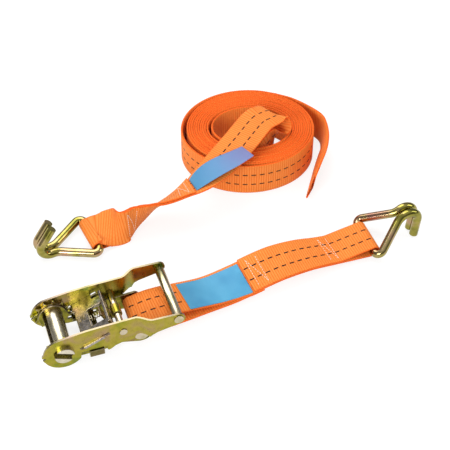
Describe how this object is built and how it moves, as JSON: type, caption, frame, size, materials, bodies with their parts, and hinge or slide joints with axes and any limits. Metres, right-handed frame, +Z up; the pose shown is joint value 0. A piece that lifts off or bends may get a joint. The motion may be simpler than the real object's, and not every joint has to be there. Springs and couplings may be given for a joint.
{
  "type": "ratchet tie-down",
  "caption": "Two-piece cargo tie-down: a plated ratchet buckle with a short sewn strap and wire hook, beside a rolled long strap with its own hook.",
  "frame": {"origin": "centre of the webbing slot, on the spindle's axis midway between the side plates", "axes": "+X along the pull towards the grip bar and the short strap, +Y along the spindle towards the long strap, +Z up from the surface it lies on"},
  "size_m": [0.3643, 0.2651, 0.0557],
  "materials": {
    "zinc_steel": "yellow zinc plated, semi-gloss",
    "spindle_steel": "yellow zinc plated, glossy",
    "hook_wire": "yellow zinc plated, glossy",
    "spring_wire": "bare wire",
    "webbing": "woven polyester with dark tracer yarns",
    "label": "smooth sewn label, bare"
  },
  "bodies": {
    "frame": {"body_plate_near": "zinc_steel", "body_plate_far": "zinc_steel", "strap_bolt": "zinc_steel", "lock_spring_seat": "zinc_steel", "lock_spring": "spring_wire"},
    "spindle": {"ratchet_wheel_near": "zinc_steel", "ratchet_wheel_far": "zinc_steel", "spindle_half_upper": "spindle_steel", "spindle_half_lower": "spindle_steel"},
    "handle": {"handle_plate_near": "zinc_steel", "handle_plate_far": "zinc_steel", "grip_bar": "spindle_steel", "handle_pin": "spindle_steel", "drive_spring_seat": "zinc_steel", "drive_spring": "spring_wire"},
    "drive_pawl": {"drive_pawl": "zinc_steel"},
    "lock_pawl": {"lock_pawl": "zinc_steel"},
    "short_strap": {"short_strap": "webbing", "short_label": "label"},
    "short_hook": {"short_hook": "hook_wire"},
    "long_strap": {"long_strap_roll": "webbing", "long_strap_lead": "webbing", "long_strap_tail": "webbing", "long_label": "label"},
    "long_hook": {"long_hook": "hook_wire"}
  },
  "joints": [
    {"name": "spindle_spin", "type": "hinge", "parent": "frame", "child": "spindle", "pos_m": [0, 0, 0], "axis": [0, 1, 0], "continuous": true},
    {"name": "handle_swing", "type": "hinge", "parent": "frame", "child": "handle", "pos_m": [0, 0, 0], "axis": [0, -1, 0], "range_deg": [0, 180]},
    {"name": "drive_pawl_slide", "type": "slide", "parent": "handle", "child": "drive_pawl", "axis": [0.915, 0, 0.4035], "range_m": [-0.003, 0.0045], "stiffness_N_per_m": 800, "springref_m": -0.004, "deforming": ["drive_spring"]},
    {"name": "lock_pawl_slide", "type": "slide", "parent": "frame", "child": "lock_pawl", "axis": [1, 0, 0], "range_m": [-0.003, 0.0022], "stiffness_N_per_m": 800, "springref_m": -0.004, "deforming": ["lock_spring"]},
    {"name": "short_strap_hinge", "type": "hinge", "parent": "frame", "child": "short_strap", "pos_m": [0.0675, 0, -0.004], "axis": [0, -1, 0], "range_deg": [-60, 7]},
    {"name": "short_hook_swing", "type": "hinge", "parent": "short_strap", "child": "short_hook", "pos_m": [0.293, 0.02604, -0.0105], "axis": [0.044, -0.999, 0], "range_deg": [-85, 60]},
    {"name": "long_strap_lift", "type": "slide", "parent": "frame", "child": "long_strap", "axis": [0, 0, 1], "range_m": [0, 0.25]},
    {"name": "long_hook_swing", "type": "hinge", "parent": "long_strap", "child": "long_hook", "pos_m": [0.0565, 0.111, -0.0109], "axis": [-0.1392, 0.9903, 0], "range_deg": [-60, 90]}
  ]
}
